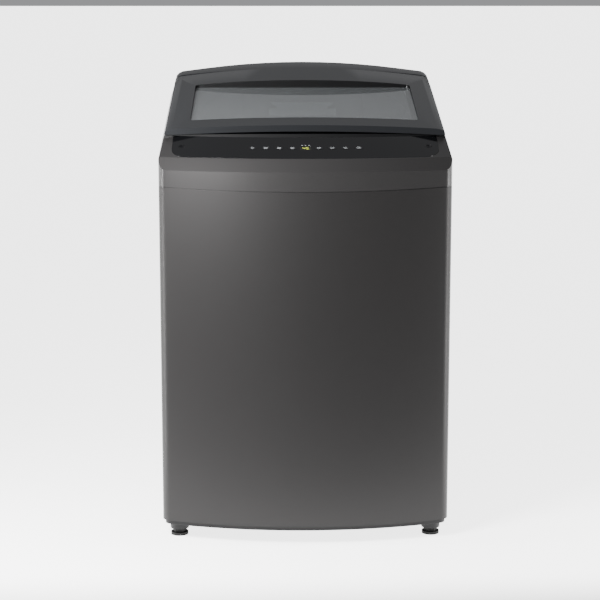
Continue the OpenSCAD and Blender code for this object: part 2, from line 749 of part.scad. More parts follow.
module lid_glass() color([0.35, 0.36, 0.38, 0.5]) on_rim(glass_mid)
    translate([0, 0, glass_w_top - glass_t]) slab(glass_w, glass_l, glass_t, 7.8);

module glass_gasket() color([0.02, 0.02, 0.02]) on_rim(glass_mid)
    translate([0, 0, glass_w_top - glass_t - 0.8]) difference() {
        slab(glass_w, glass_l, 0.8, 7.8);
        translate([0, 0, -1]) slab(glass_w - 2 * glass_edge - 2, glass_l - 2 * glass_edge - 2, 3, 7);
    }

module lid_hinge_pins() color([0.75, 0.75, 0.75]) for (s = [-1, 1])
    translate([s * (hinge_x - 11), hinge_y, hinge_z]) rotate([0, s * 90, 0])
        cylinder(r = pin_r, h = 11.8 + post_w, $fn = 48);

bumper_stem_r = 2;

module bumper_at(s) translate([s * (lid_half_w - 16), lid_front_y + 60, 0])
    translate([0, 0, rim_at(lid_front_y + 60)]) rotate([lid_slope, 0, 0]) children();

module lid_bumpers() color([0.05, 0.05, 0.05]) for (s = [-1, 1]) bumper_at(s) {
    cylinder(r = 5, h = 0.7, $fn = 32);
    translate([0, 0, -6]) cylinder(r = bumper_stem_r, h = 6.2, $fn = 24);
}

module lid_switch() color([0.12, 0.12, 0.12]) translate([lid_half_w - 54, throat_rear_y - 22, shelf_z - 10])
    difference() {
        cube([30, 22, 36]);
        translate([11, 7, 24]) cube([8, 8, 20]);
    }

// ---------- detergent drawer ----------

drawer_top = shelf_z + 7;
drawer_front_h = 28;
tray_w = drawer_w - 18;
tray_l = 92;
tray_h = 13;
slide_gap = 0.6;
tray_z = drawer_top - drawer_front_h + 0.5;
duct_end_z = tray_z + tray_h + slide_gap + 0.2;      // the duct ends in the dispenser's roof

module drawer_slot() translate([-tray_w / 2 - 1, throat_rear_y - 20, tray_z - 1])
    cube([tray_w + 2, 30, tray_h + 2]);

module detergent_drawer() color([0.82, 0.83, 0.84]) difference() {
    union() {
        translate([0, throat_rear_y - 6.5, drawer_top]) intersection() {
            translate([-drawer_w / 2, 0, -drawer_front_h]) cube([drawer_w, 6, drawer_front_h]);
            translate([0, 0, drawer_w * 0.62 - drawer_front_h]) rotate([90, 0, 0])
                cylinder(r = drawer_w * 0.62, h = 40, center = true, $fn = 180);
        }
        translate([-tray_w / 2, throat_rear_y - 1, tray_z]) cube([tray_w, tray_l, tray_h]);
    }
    for (s = [-1, 1]) translate([s * tray_w / 4 - tray_w / 4 + 2, throat_rear_y + 2, tray_z + 2])
        cube([tray_w / 2 - 4, tray_l - 5, tray_h]);
    translate([-24, throat_rear_y - 8, drawer_top - 7]) cube([48, 4.5, 5]);
}

module dispenser_housing() color([0.75, 0.76, 0.77]) {
    x = tray_w / 2 + slide_gap;
    y0 = throat_rear_y + wall_t + 1;
    z0 = tray_z - slide_gap;
    difference() {
        translate([-x - 2.5, y0, z0 - 2.5]) cube([2 * x + 5, tray_l + 6, tray_h + 6.2]);
        translate([-x, y0 - 1, z0]) cube([2 * x, tray_l + 3, tray_h + 2 * slide_gap]);
        translate([duct_x, duct_y, shelf_z - 25]) cylinder(r = duct_r + 0.3, h = 40);
        for (k = [-3:3]) translate([k * 18, y0 + 20, z0 - 5]) cylinder(r = 3, h = 10, $fn = 24);
    }
}

// ---------- tub ----------

sump_xy = 165;

module outer_tub() color([0.86, 0.87, 0.86]) difference() {
    union() {
        translate([0, 0, tub_z]) cylinder(r = tub_r, h = tub_h, $fn = 180);
        for (k = [0:3]) rotate([0, 0, 45 + k * 90]) translate([tub_r - 10, -20, cup_z + 8])
            cube([rod_xy * sqrt(2) - tub_r + 28, 40, 8]);
        for (z = [0.35, 0.65]) translate([0, 0, tub_z + tub_h * z])
            cylinder(r = tub_r + 3, h = 4, $fn = 180);
        translate([sump_xy, sump_xy, tub_z - 14]) cylinder(r = 20, h = 16);
    }
    translate([0, 0, tub_floor_z]) cylinder(r = tub_r - tub_t, h = tub_h, $fn = 180);
    translate([0, 0, tub_z - 1]) cylinder(r = bearing_r + 4.5, h = 10);
    translate([sump_xy, sump_xy, tub_z - 15]) cylinder(r = 15, h = 24);
    at_corners(rod_xy, rod_xy) translate([0, 0, cup_z]) cylinder(r = 12, h = 30);
}

module tub_cover() color([0.88, 0.89, 0.88]) translate([0, 0, tub_top_z]) {
    ring(tub_r + 6, ring_in_r + 12, 4);
    translate([0, 0, 4 - eps]) ring(ring_in_r + 16, ring_in_r + 12, 8);
    translate([0, 0, -12]) ring(tub_r + 6, tub_r + 3.2, 12 + eps);
}

// ---------- basket ----------

hole_rows = 6;
holes_round = 24;

module basket() color([0.78, 0.79, 0.80]) difference() {
    translate([0, 0, basket_z]) cylinder(r = basket_r, h = basket_h, $fn = 180);
    translate([0, 0, basket_z + basket_t]) cylinder(r = basket_r - basket_t, h = basket_h, $fn = 180);
    translate([0, 0, basket_z - 1]) cylinder(r = spin_shaft_r + 6, h = 10);
    for (j = [0:hole_rows - 1], i = [0:holes_round - 1])
        rotate([0, 0, (i + (j % 2) / 2) * 360 / holes_round])
            translate([basket_r, 0, basket_z + 60 + j * (basket_h - 110) / (hole_rows - 1)])
                rotate([0, 90, 0]) cylinder(r = 2.5, h = 8, center = true, $fn = 24);
}

module balance_ring() color([0.80, 0.82, 0.83]) difference() {
    union() {
        translate([0, 0, ring_z]) cylinder(r = basket_r - basket_t, h = ring_h, $fn = 180);
        translate([0, 0, basket_top_z]) cylinder(r = basket_r, h = ring_z + ring_h - basket_top_z, $fn = 180);
    }
    translate([0, 0, ring_z - 1]) cylinder(r = ring_in_r, h = ring_h + 2, $fn = 180);
}

hub_h = 20;

module basket_hub() color([0.62, 0.63, 0.64]) translate([0, 0, basket_z - 5]) {
    difference() {
        union() {
            cylinder(r = 88, h = 5);
            translate([0, 0, -15]) cylinder(r = 30, h = hub_h);
            for (k = [0:5]) rotate([0, 0, k * 60]) translate([20, -3, -9]) cube([64, 6, 10]);
            translate([0, 0, 4]) cylinder(r = spin_shaft_r + 5.8, h = 5);
        }
        translate([0, 0, -16]) cylinder(r = spin_shaft_r, h = hub_h + 20);
    }
}

// ---------- wash plate ----------

module wash_plate() color([0.70, 0.72, 0.74]) difference() {
    union() {
        translate([0, 0, plate_z]) cylinder(r = plate_r, h = 6, $fn = 180);
        translate([0, 0, plate_z + 6 - eps]) cylinder(r1 = plate_r - 40, r2 = 52, h = 16);
        for (k = [0:5]) rotate([0, 0, k * 60]) intersection() {
            translate([46, 0, plate_z]) rotate([0, 84, 0]) cylinder(r = 20, h = plate_r - 52);
            translate([0, -30, plate_z]) cube([plate_r, 60, 40]);
        }
        translate([0, 0, plate_z - 12]) cylinder(r = 24, h = 20);
    }
    translate([0, 0, plate_z - 13]) cylinder(r = wash_shaft_r, h = 31);
    translate([0, 0, plate_z + 10]) cylinder(r = 17, h = 40);
    for (k = [0:11], r = [110, 150]) rotate([0, 0, 15 + k * 30]) translate([r, 0, plate_z - 1])
        cylinder(r = 3.5, h = 30, $fn = 24);
}

module wash_plate_cap() color([0.62, 0.64, 0.66]) translate([0, 0, plate_z + 22]) intersection() {
    cylinder(r = 46, h = 14);
    translate([0, 0, -70]) sphere(r = 82, $fn = 120);
}

module wash_plate_bolt() color([0.7, 0.7, 0.7]) {
    translate([0, 0, plate_z + 10]) cylinder(r = 10, h = 6, $fn = 6);
    translate([0, 0, plate_z + 10 - 14]) cylinder(r = 4, h = 15, $fn = 48);
}

module lint_filter(s) {                // framed pocket that hooks onto the basket wall
    r = basket_r - basket_t - 0.4;
    w = 92;
    h = 150;
    z = basket_top_z - 40 - h;
    intersection() {
        translate([0, 0, z]) ring(r, r - 14, h);
        translate([s > 0 ? 100 : -basket_r, -w / 2, z]) difference() {
            cube([basket_r - 100, w, h]);
            translate([-1, 10, 12]) cube([basket_r, w - 20, 52]);
            translate([-1, 10, 74]) cube([basket_r, w - 20, h - 86]);
        }
    }
    intersection() {
        translate([0, 0, z + 6]) ring(r - 5, r - 7, h - 12);
        translate([s > 0 ? 100 : -basket_r, -w / 2 + 5, z]) cube([basket_r - 100, w - 10, h]);
    }
}

module left_lint_filter() color([0.35, 0.55, 0.75]) lint_filter(-1);
module right_lint_filter() color([0.35, 0.55, 0.75]) lint_filter(1);

// ---------- drive ----------

module wash_shaft() color([0.72, 0.72, 0.73]) difference() {
    translate([0, 0, rotor_z - 8]) cylinder(r = wash_shaft_r, h = plate_z + 10 - rotor_z + 8);
    translate([0, 0, plate_z + 10 - 14.5]) cylinder(r = 4, h = 60);
}

module spin_shaft() color([0.66, 0.66, 0.67]) difference() {
    union() {
        translate([0, 0, housing_z - 10]) cylinder(r = spin_shaft_r, h = basket_z + 6 - housing_z + 10);
    }
    translate([0, 0, housing_z - 11]) cylinder(r = wash_shaft_r + run_gap, h = body_h);
}

module bearing_housing() color([0.50, 0.51, 0.52]) difference() {
    union() {
        translate([0, 0, housing_z]) cylinder(r = bearing_r + 4.5, h = tub_floor_z - housing_z);
        translate([0, 0, tub_z - 6]) cylinder(r = 120, h = 6);
        for (k = [0:7]) rotate([0, 0, k * 45]) translate([bearing_r, -3, tub_z - 22]) cube([80, 6, 17]);
    }
    translate([0, 0, low_bearing_z]) cylinder(r = bearing_r, h = bearing_h);
    translate([0, 0, top_bearing_z]) cylinder(r = bearing_r, h = tub_z);
    translate([0, 0, housing_z - 1]) cylinder(r = spin_shaft_r + 4, h = body_h);
    translate([0, 0, housing_z - 1]) cylinder(r = bearing_r, h = 5.2);
}

module both_bearings() for (z = [low_bearing_z, top_bearing_z]) translate([0, 0, z]) children();

module race_groove() translate([0, 0, bearing_h / 2]) rotate_extrude()
    translate([bearing_mid_r, 0]) circle(r = ball_r + drum_gap);

module outer_races() color([0.74, 0.74, 0.75]) both_bearings() difference() {
    ring(bearing_r, bearing_r - race_t, bearing_h);
    race_groove();
}

module inner_races() color([0.74, 0.74, 0.75]) both_bearings() {
    difference() {
        ring(spin_shaft_r + race_t, spin_shaft_r, bearing_h);
        translate([0, 0, bearing_h / 2]) rotate_extrude()
            translate([bearing_mid_r, 0]) circle(r = ball_r);
    }
    for (k = [0:9]) rotate([0, 0, k * 36]) translate([bearing_mid_r, 0, bearing_h / 2])
        sphere(r = ball_r, $fn = 32);
}

module shaft_seal() color([0.06, 0.06, 0.06]) translate([0, 0, tub_z - 1.8])
    ring(bearing_r, spin_shaft_r + 0.3, tub_floor_z - tub_z + 1.8);

stator_z = housing_z - 40;
stator_h = 28;
stator_r = rotor_r - 14;

module round_plan(r_out, r_in) difference() {
    circle(r = r_out);
    circle(r = r_in);
}

module stator() color([0.62, 0.34, 0.16]) translate([0, 0, stator_z]) {
    core_r = stator_r - 30;
    translate([0, 0, 4]) linear_extrude(stator_h - 12) union() {
        round_plan(core_r, core_r - 16);
        for (k = [0:stator_teeth - 1]) rotate(k * 360 / stator_teeth) {
            translate([core_r - 2, -2.5]) square([30, 5]);
            translate([stator_r - 5, -8]) square([4.4, 16]);
        }
    }
    translate([0, 0, stator_h - 8]) linear_extrude(8) union() {
        round_plan(core_r, core_r - 16);
        round_plan(bearing_r + 20, bearing_r + 5);
        for (k = [0:7]) rotate(k * 45 + 22.5) translate([bearing_r + 10, -8])
            square([core_r - bearing_r - 20, 16]);
    }
    for (k = [0:stator_teeth - 1]) rotate([0, 0, k * 360 / stator_teeth]) difference() {
        translate([core_r + 3, -5.4, 1]) cube([18, 10.8, stator_h - 6]);
        translate([core_r, -2.6, 3.9]) cube([30, 5.2, stator_h - 11.8]);
    }
    for (k = [0:7]) rotate([0, 0, k * 45 + 22.5]) translate([62, 0, stator_h - 1])
        cylinder(r = 6, h = tub_z - 5 - stator_z - stator_h, $fn = 32);
}

module rotor() color([0.66, 0.67, 0.68]) translate([0, 0, rotor_z]) {
    difference() {
        cylinder(r = rotor_r, h = 44, $fn = 180);
        translate([0, 0, 3]) cylinder(r = rotor_r - 4, h = 60, $fn = 180);
        translate([0, 0, -1]) cylinder(r = wash_shaft_r, h = 20);
        for (k = [0:11]) rotate([0, 0, k * 30]) translate([80, -9, -1]) cube([36, 18, 8]);
    }
    difference() {
        translate([0, 0, 10]) ring(rotor_r - 4, rotor_r - 12, 30);
        for (k = [0:23]) rotate([0, 0, k * 15]) translate([rotor_r - 20, -0.6, 12]) cube([30, 1.2, 40]);
    }
    translate([0, 0, 2]) ring(22, wash_shaft_r, 8);
}

module rotor_nut() color([0.7, 0.7, 0.7]) translate([0, 0, rotor_z - 8]) difference() {
    cylinder(r = 15, h = 8, $fn = 6);
    translate([0, 0, -1]) cylinder(r = wash_shaft_r, h = 12);
}

// ---------- suspension ----------

module suspension_rods() color([0.68, 0.68, 0.69]) at_corners(rod_xy, rod_xy) {
    translate([0, 0, rod_end_z - 6]) cylinder(r = rod_r, h = rod_top_z - rod_end_z + 14);
    translate([0, 0, rod_end_z - 4]) cylinder(r = spring_r + 3, h = 4);
    translate([0, 0, rod_top_z + 3]) cylinder(r = 10, h = 7);
}

module suspension_springs() color([0.55, 0.56, 0.58]) at_corners(rod_xy, rod_xy)
    translate([0, 0, rod_end_z]) ring(spring_r, spring_r - 4, cup_z - rod_end_z);

module suspension_cups() color([0.15, 0.15, 0.16]) at_corners(rod_xy, rod_xy)
    translate([0, 0, cup_z]) difference() {
        union() {
            cylinder(r = spring_r + 3, h = 8);
            cylinder(r = 12, h = cup_h);
        }
        translate([0, 0, -1]) cylinder(r = rod_r + 0.3, h = cup_h + 2);
    }

// ---------- drain ----------

pump_x = sump_xy;
pump_y = sump_xy;
pump_z = skirt_z - 6;
pump_h = 88;
outlet_z = skirt_z + 30;

module drain_pump() color([0.82, 0.82, 0.80]) {
    translate([pump_x, pump_y, pump_z]) {
        cylinder(r = 34, h = 50);
        translate([0, 0, 49]) cylinder(r = 26, h = 14);
        difference() {
            translate([0, 0, 62]) cylinder(r = 20, h = pump_h - 62);
            translate([0, 0, 64]) cylinder(r = 15, h = 40);
        }
        translate([-62, 0, 24]) rotate([0, 90, 0]) cylinder(r = 19, h = 32);
    }
    difference() {
        translate([pump_x, pump_y + 28, outlet_z]) rotate([-90, 0, 0])
            cylinder(r = drain_r, h = rear_y - pump_y - 28);
        translate([pump_x, pump_y + 50, outlet_z]) rotate([-90, 0, 0])
            cylinder(r = drain_r - 3, h = body_d);
    }
}

module drain_hose() color([0.12, 0.12, 0.12]) translate([sump_xy, sump_xy, pump_z + pump_h]) {
    h = tub_z - 14 - pump_z - pump_h;
    ring(20, 15, h);
    for (k = [0:3]) translate([0, 0, h * (k + 0.5) / 4 - 2]) ring(24, 15, 4);
}

cabinet();
rear_cover();
rear_cover_screws();
base_frame();
corner_plates();
left_levelling_foot();
right_levelling_foot();
foot_lock_nuts();
rear_feet();
top_cover();
top_cover_screws();
control_panel();
display_window();
panel_plugs();
power_key();
wash_key();
rinse_key();
spin_key();
programme_key();
level_key();
delay_key();
start_key();
control_board();
rear_housing();
lid_hinge_pins();
lid_frame();
lid_glass();
glass_gasket();
lid_bumpers();
lid_switch();
detergent_drawer();
dispenser_housing();
inlet_valve();
fill_duct();
level_sensor();
cord_gland();
outer_tub();
tub_cover();
basket();
balance_ring();
basket_hub();
wash_plate();
wash_plate_cap();
wash_plate_bolt();
left_lint_filter();
right_lint_filter();
wash_shaft();
spin_shaft();
bearing_housing();
outer_races();
inner_races();
shaft_seal();
stator();
rotor();
rotor_nut();
suspension_rods();
suspension_springs();
suspension_cups();
drain_pump();
drain_hose();
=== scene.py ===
import json
import math

import bmesh
import bpy
from mathutils import Matrix, Vector

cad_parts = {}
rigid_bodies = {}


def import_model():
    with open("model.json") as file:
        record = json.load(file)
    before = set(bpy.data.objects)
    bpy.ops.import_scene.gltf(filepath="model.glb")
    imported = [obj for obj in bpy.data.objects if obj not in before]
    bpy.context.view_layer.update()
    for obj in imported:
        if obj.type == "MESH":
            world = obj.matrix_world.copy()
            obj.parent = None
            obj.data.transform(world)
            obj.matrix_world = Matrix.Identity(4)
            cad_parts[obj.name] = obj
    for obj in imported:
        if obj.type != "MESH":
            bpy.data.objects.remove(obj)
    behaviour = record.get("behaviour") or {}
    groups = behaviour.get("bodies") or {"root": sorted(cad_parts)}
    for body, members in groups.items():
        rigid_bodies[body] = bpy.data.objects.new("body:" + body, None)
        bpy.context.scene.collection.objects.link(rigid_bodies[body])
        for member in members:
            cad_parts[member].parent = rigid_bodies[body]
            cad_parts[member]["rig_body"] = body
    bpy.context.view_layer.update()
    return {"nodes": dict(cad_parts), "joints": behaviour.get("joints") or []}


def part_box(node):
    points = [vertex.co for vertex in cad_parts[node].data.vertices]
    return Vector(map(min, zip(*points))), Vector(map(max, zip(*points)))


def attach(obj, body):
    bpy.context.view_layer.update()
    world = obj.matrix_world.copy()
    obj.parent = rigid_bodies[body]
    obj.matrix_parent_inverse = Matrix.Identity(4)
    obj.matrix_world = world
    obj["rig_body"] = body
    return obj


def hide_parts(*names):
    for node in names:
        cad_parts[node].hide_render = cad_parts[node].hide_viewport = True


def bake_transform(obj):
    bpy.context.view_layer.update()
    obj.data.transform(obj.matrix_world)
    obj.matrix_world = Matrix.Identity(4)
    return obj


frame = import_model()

MM = 0.001

# ---------- studio: floor, lights and camera ----------
# A pale seamless floor under an even sky, one broad soft box high at the front left for the
# sheen on the upper front, and a tall narrow one on each side for the light line on each corner.


def srgb(code):
    """The linear colour of an sRGB hex value."""
    parts = [int(code[i:i + 2], 16) / 255 for i in (1, 3, 5)]
    return tuple(c / 12.92 if c <= 0.04045 else ((c + 0.055) / 1.055) ** 2.4 for c in parts) + (1.0,)


def new_object(name, bm, *materials, smooth_angle=35):
    """Makes an object at the origin from a bmesh, smooth except across edges sharper than the angle."""
    for face in bm.faces:
        face.smooth = True
    for edge in bm.edges:
        edge.smooth = len(edge.link_faces) == 2 and edge.calc_face_angle(0) < math.radians(smooth_angle)
    mesh = bpy.data.meshes.new(name)
    bm.to_mesh(mesh)
    bm.free()
    piece = bpy.data.objects.new(name, mesh)
    bpy.context.scene.collection.objects.link(piece)
    for material in materials:
        mesh.materials.append(material)
    return piece


def new_material(name, colour, **sockets):
    """A material with one Principled shader, its uniform values set on the shader's own sockets."""
    material = bpy.data.materials.new(name)
    material.use_nodes = True
    shader = material.node_tree.nodes["Principled BSDF"]
    shader.inputs["Base Color"].default_value = srgb(colour)
    for socket, value in sockets.items():
        shader.inputs[socket.replace("_", " ")].default_value = value
    return material


def add(tree, kind, settings=None, links=None, **inputs):
    """Adds a node, sets its properties and input values, and links its inputs."""
    node = tree.nodes.new(kind)
    for name, value in (settings or {}).items():
        setattr(node, name, value)
    for name, value in inputs.items():
        node.inputs[name.replace("_", " ")].default_value = value
    for name, source in (links or {}).items():
        tree.links.new(source, node.inputs[name])
    return node


# The floor carries a painted glow beside and behind the machine, a pool of painted light that fades to plain
# paint in front of it, so that the bowed front mirrors a dim floor and stays dark.
glow_from_y, glow_full_y, glow_strength = -0.72, -0.46, 3.4
floor_reach = 1500
floor_paint_and_glow = new_material("matt white paint with painted glow", "#f6f6f5", Roughness=0.9, Emission_Color=srgb("#ffffff"))
tree = floor_paint_and_glow.node_tree
place = add(tree, "ShaderNodeTexCoord").outputs["Object"]
depth = add(tree, "ShaderNodeSeparateXYZ", links={"Vector": place}).outputs["Y"]
# Painted light: the emission grows with the floor's depth behind the machine.
glow = add(tree, "ShaderNodeMapRange", {"interpolation_type": "SMOOTHSTEP"}, {"Value": depth},
           From_Min=glow_from_y, From_Max=glow_full_y, To_Min=0.0, To_Max=glow_strength)
tree.links.new(glow.outputs["Result"], tree.nodes["Principled BSDF"].inputs["Emission Strength"])
bm = bmesh.new()
bmesh.ops.create_grid(bm, x_segments=1, y_segments=1, size=floor_reach)
new_object("floor", bm, floor_paint_and_glow)

world = bpy.data.worlds.new("studio")
world.use_nodes = True
world.node_tree.nodes["Background"].inputs["Color"].default_value = srgb("#fbfcff")
world.node_tree.nodes["Background"].inputs["Strength"].default_value = 0.34
bpy.context.scene.world = world


def soft_box(name, place, target, width, height, power):
    lamp = bpy.data.lights.new(name, "AREA")
    lamp.shape = "RECTANGLE"
    lamp.size, lamp.size_y, lamp.energy = width, height, power
    box = bpy.data.objects.new(name, lamp)
    bpy.context.scene.collection.objects.link(box)
    box.location = place
    box.rotation_euler = (Vector(target) - Vector(place)).to_track_quat("-Z", "Y").to_euler()


soft_box("front left soft box", (-0.62, -0.95, 1.05), (-0.12, -0.3, 0.56), 0.45, 0.4, 48)
soft_box("left strip", (-1.1, -0.35, 0.55), (-0.29, -0.2, 0.5), 0.12, 1.1, 16)
soft_box("right strip", (1.1, -0.35, 0.55), (0.29, -0.2, 0.5), 0.12, 1.1, 12)

camera = bpy.data.objects.new("camera", bpy.data.cameras.new("camera"))
bpy.context.scene.collection.objects.link(camera)
bpy.context.scene.camera = camera
camera.data.lens = 102.0
camera.data.sensor_width = 36.0
camera.location = (-0.058, -3.636, 1.090)
camera.rotation_euler = (math.radians(90 - 9.87), 0, math.radians(-0.79))

# ---------- base frame, feet and rear cover ----------
# A black moulded base carries four screw feet with rubber soles; the galvanised rear cover
# closes the back. Moulded black parts show an even, slightly mottled satin.


def surface(name, colour, mottle=(20, 0.06), grain=(0.4, 0.05), gloss_spread=0.06, stretch=(1, 1, 1), **sockets):
    """A moulded, painted or cast surface: slow colour mottle, fine grain relief and uneven gloss.

    mottle is (size in mm, share of the colour), grain is (size in mm, depth in mm).
    """
    material = new_material(name, colour, **sockets)
    tree = material.node_tree
    shader = tree.nodes["Principled BSDF"]
    place = add(tree, "ShaderNodeTexCoord").outputs["Object"]
    drawn = add(tree, "ShaderNodeMapping", links={"Vector": place}, Scale=stretch).outputs["Vector"]
    slow = add(tree, "ShaderNodeTexNoise", links={"Vector": place}, Scale=1 / (mottle[0] * MM), Detail=4.0)
    fine = add(tree, "ShaderNodeTexNoise", links={"Vector": drawn}, Scale=1 / (grain[0] * MM), Detail=3.0)
    base = srgb(colour)
    tint = add(tree, "ShaderNodeMix", {"data_type": "RGBA"}, {"Factor": slow.outputs["Fac"]})
    tint.inputs[6].default_value = tuple(c * (1 - mottle[1]) for c in base[:3]) + (1,)
    tint.inputs[7].default_value = tuple(min(1, c * (1 + mottle[1])) for c in base[:3]) + (1,)
    tree.links.new(tint.outputs[2], shader.inputs["Base Color"])
    gloss = shader.inputs["Roughness"].default_value
    spread = add(tree, "ShaderNodeMapRange", links={"Value": fine.outputs["Fac"]},
                 To_Min=max(0.02, gloss - gloss_spread), To_Max=min(1.0, gloss + gloss_spread))
    tree.links.new(spread.outputs["Result"], shader.inputs["Roughness"])
    relief = add(tree, "ShaderNodeBump", links={"Height": fine.outputs["Fac"]},
                 Strength=0.6, Distance=grain[1] * MM)
    tree.links.new(relief.outputs["Normal"], shader.inputs["Normal"])
    return material


def finish_nodes(material, *nodes):
    for node in nodes:
        for place in frame["nodes"][node].material_slots:
            place.material = material


def refined(node, slot, *materials, edge=0.6, smooth_angle=30, second=None):
    """A copy of a CAD shell with merged corners and its hard edges broken by a small round.

    Faces whose middle passes the test `second` take the second material.
    """
    bm = bmesh.new()
    bm.from_mesh(frame["nodes"][node].data)
    bmesh.ops.remove_doubles(bm, verts=bm.verts, dist=0.002 * MM)
    bmesh.ops.dissolve_limit(bm, angle_limit=math.radians(0.3), verts=bm.verts, edges=bm.edges)
    for face in bm.faces:
        face.material_index = 1 if second and second(face.calc_center_median()) else 0
    piece = new_object(node + ".shell", bm, *materials, smooth_angle=smooth_angle)
    if edge:
        bevel = piece.modifiers.new("broken edges", "BEVEL")
        bevel.width = edge * MM
        bevel.segments = 2
        bevel.limit_method = "ANGLE"
        bevel.angle_limit = math.radians(smooth_angle + 8)
        bevel.harden_normals = True
    body = frame["nodes"][node]["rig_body"]
    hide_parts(node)
    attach(piece, body)
    return piece


# Fine spark-eroded grain on the moulded parts, a duller and rougher skin on the rubber, and the
# cloudy spangle of zinc as slow colour mottle on the plated parts.
polypropylene = surface("black polypropylene", "#060607", (12, 0.1), (0.5, 0.05), Roughness=0.5,
                        Specular_IOR_Level=0.25)
rubber = surface("black rubber", "#080808", (6, 0.1), (0.8, 0.06), Roughness=0.72, Specular_IOR_Level=0.3)
zinc_plate = surface("zinc plated steel", "#a8a9a5", (5, 0.08), (0.6, 0.02), Roughness=0.34, Metallic=1.0)
galvanised = surface("galvanised steel", "#9a9c9e", (9, 0.16), (1.4, 0.02), Roughness=0.42, Metallic=1.0)
refined("base_frame", "black_plastic", polypropylene, edge=0.5)
finish_nodes(rubber, "left_levelling_foot", "right_levelling_foot", "rear_feet")
finish_nodes(zinc_plate, "foot_lock_nuts", "rear_cover_screws", "top_cover_screws")
finish_nodes(galvanised, "rear_cover", "corner_plates")

# ---------- cabinet ----------
# One wrap of pre-painted steel sheet, bowed at the front and rolled at the corners. The paint
# holds fine aluminium flake, so it shades from a soft sheen to near black.

# The part-metallic share stands for the flake; the low specular keeps the clear coat from glaring.
painted_steel = surface("graphite painted steel", "#232222", (60, 0.02), (0.5, 0.006), 0.03,
                        Roughness=0.42, Metallic=0.35, Specular_IOR_Level=0.25)
refined("cabinet", "graphite_steel", painted_steel, edge=0.4)

# ---------- suspension, drive and tub ----------
# Four rods hang from the corner plates and carry the tub on coil springs. Below the tub sit
# the cast bearing housing, the copper wound stator and the pressed steel rotor.

# Brushed sheet, cloudy natural plastic, grainy die casting and lacquered winding wire differ in
# the size and depth of their grain and in how evenly they shine.
stainless = surface("stainless steel", "#b9babb", (14, 0.05), (0.4, 0.01), Roughness=0.24, Metallic=1.0)
natural_pp = surface("natural polypropylene", "#cfd1ce", (30, 0.04), (0.6, 0.03), Roughness=0.45)
grey_abs = surface("light grey ABS", "#9fa3a7", (30, 0.03), (0.6, 0.02), Roughness=0.3)
cast_alloy = surface("cast aluminium", "#8f9092", (6, 0.1), (0.9, 0.15), Roughness=0.5, Metallic=1.0)
copper = surface("enamelled copper", "#8a4a22", (1.2, 0.25), (0.9, 0.3), Roughness=0.35, Metallic=0.9)
finish_nodes(zinc_plate, "suspension_rods", "spin_shaft", "outer_races", "inner_races", "rotor", "rotor_nut")
finish_nodes(stainless, "wash_shaft", "lid_hinge_pins", "wash_plate_bolt", "basket")
finish_nodes(natural_pp, "outer_tub", "tub_cover", "inlet_valve", "fill_duct", "drain_pump")
finish_nodes(grey_abs, "balance_ring", "wash_plate", "wash_plate_cap", "detergent_drawer", "dispenser_housing")
finish_nodes(cast_alloy, "bearing_housing", "basket_hub")
finish_nodes(copper, "stator")
finish_nodes(rubber, "shaft_seal", "glass_gasket", "lid_bumpers")
finish_nodes(polypropylene, "suspension_cups", "level_sensor", "cord_gland", "lid_switch")
finish_nodes(surface("blue polypropylene", "#486f9c", (20, 0.05), (0.5, 0.03), Roughness=0.42),
             "left_lint_filter", "right_lint_filter")
finish_nodes(surface("circuit board", "#0f3d1f", (8, 0.1), (0.5, 0.02), Roughness=0.35), "control_board")

spring_wire = 3.2 * MM
spring_turns = 5.5
spring_r = 15 * MM


def coil_spring(name, x, y, low, high, radius, turns, wire, material):
    """A compression spring: a ring of wire swept up a helix."""
    rings_per_turn = 20
    sides = 8
    count = int(turns * rings_per_turn)
    bm = bmesh.new()
    bmesh.ops.create_circle(bm, cap_ends=True, segments=sides, radius=wire / 2,
                            matrix=Matrix.Translation((x + radius, y, low + wire / 2))
                            @ Matrix.Rotation(math.pi / 2, 4, "X"))
    geometry = list(bm.verts) + list(bm.edges) + list(bm.faces)
    rise = (high - low - wire) / turns
    bmesh.ops.spin(bm, geom=geometry, cent=(x, y, 0), axis=(0, 0, 1), dvec=(0, 0, rise / rings_per_turn),
                   angle=math.tau * turns, steps=count, use_duplicate=False)
    bmesh.ops.recalc_face_normals(bm, faces=bm.faces)
    return new_object(name, bm, material, smooth_angle=60)


low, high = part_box("suspension_springs")
reach = (high.x - low.x) / 2
for i in (-1, 1):
    for j in (-1, 1):
        corner = reach - spring_r
        name = "spring." + ("left" if i < 0 else "right") + (".front" if j < 0 else ".rear")
        spring = coil_spring(name, i * corner, j * corner, low.z, high.z,
                             spring_r - spring_wire / 2, spring_turns, spring_wire, zinc_plate)
        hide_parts("suspension_springs")
        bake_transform(spring)

# The sump hose is a rubber bellows, clamped to the tub above and to the pump below.
low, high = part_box("drain_hose")
middle = (low + high) / 2
crest_r = (high.x - low.x) / 2
valley_r, bore_r = crest_r * 0.8, crest_r * 0.62
folds = 6
step = (high.z - low.z) / folds
bm = bmesh.new()
outline = [(valley_r, low.z)]
for fold in range(folds):
    foot = low.z + step * fold
    outline += [(valley_r, foot + step * 0.12), (crest_r, foot + step * 0.5), (valley_r, foot + step * 0.88)]
outline += [(valley_r, high.z), (bore_r, high.z), (bore_r, low.z)]
points = [bm.verts.new((middle.x + r, middle.y, z)) for r, z in outline]
wall = [bm.edges.new((points[k], points[(k + 1) % len(points)])) for k in range(len(points))]
bmesh.ops.spin(bm, geom=points + wall, cent=middle, axis=(0, 0, 1), angle=math.tau, steps=48, use_merge=True)
bmesh.ops.remove_doubles(bm, verts=bm.verts, dist=0.001 * MM)
bmesh.ops.recalc_face_normals(bm, faces=bm.faces)
hose = new_object("sump_bellows", bm, rubber, smooth_angle=60)
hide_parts("drain_hose")
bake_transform(hose)
